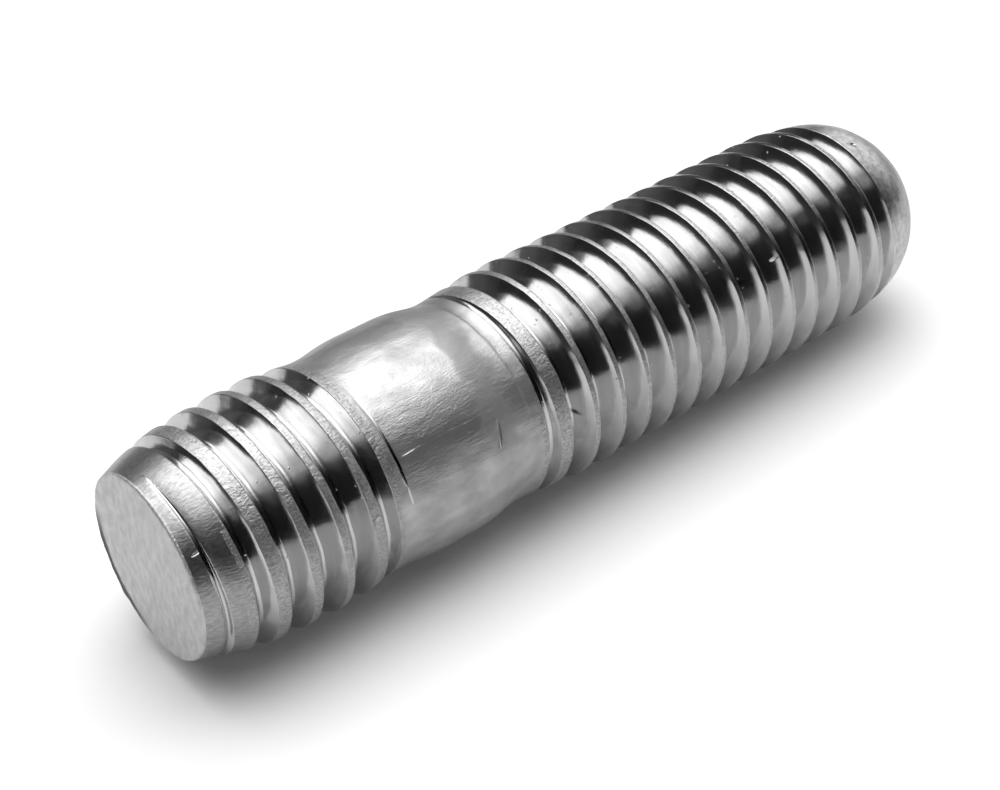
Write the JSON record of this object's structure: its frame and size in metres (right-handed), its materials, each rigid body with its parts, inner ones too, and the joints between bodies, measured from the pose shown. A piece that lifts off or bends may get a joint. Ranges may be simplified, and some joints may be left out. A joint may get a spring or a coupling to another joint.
{
  "type": "stud bolt",
  "caption": "Threaded stud: a short thread screws into a casting, a plain shank passes through a flange, and a long thread with a rounded point takes a nut.",
  "frame": {"origin": "centre of the flat face of the metal end, the bottom of the part as it stands", "axes": "+Z along the stud's axis, from the metal end to the rounded point of the nut end; X and Y are any two directions across it"},
  "size_m": [0.01, 0.01, 0.0425],
  "materials": {
    "steel": "plain steel, cold-drawn shank and rolled threads"
  },
  "bodies": {
    "root": {"stud_bolt": "steel"}
  },
  "joints": []
}
